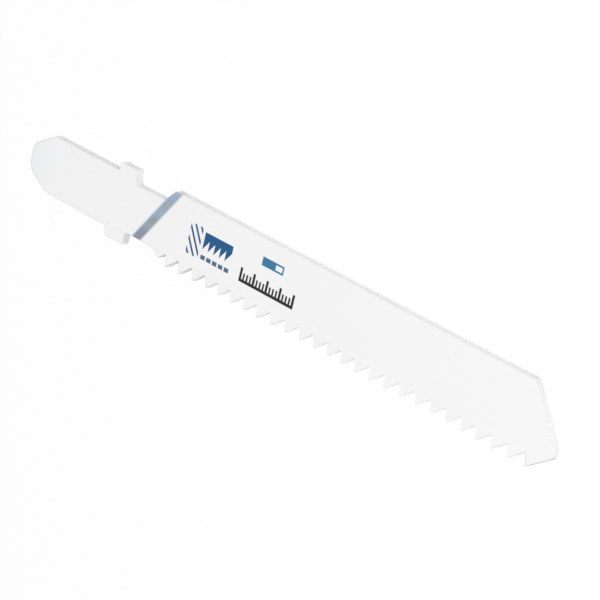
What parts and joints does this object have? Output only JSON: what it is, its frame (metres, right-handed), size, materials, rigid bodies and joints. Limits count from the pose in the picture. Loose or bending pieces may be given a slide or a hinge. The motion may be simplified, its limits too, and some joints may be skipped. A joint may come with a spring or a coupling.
{
  "type": "jigsaw blade",
  "caption": "Flat T-shank jigsaw blade with a tapered tang, two lugs, a necked shoulder, a row of milled wavy-set teeth and a slanted nose.",
  "frame": {"origin": "middle of the bounding box at the height of the lowest tooth tips, which the blade lies on", "axes": "+X along the blade from the shank to the nose, +Y from the teeth to the spine, +Z out of the printed face, up as it lies"},
  "size_m": [0.075, 0.0083, 0.0012],
  "materials": {
    "coated_steel": "satin white coat on a steel strip, with a blue heat-tinted band at the shoulder and small blue and dark printed marks"
  },
  "bodies": {
    "root": {"blade": "coated_steel"}
  },
  "joints": []
}
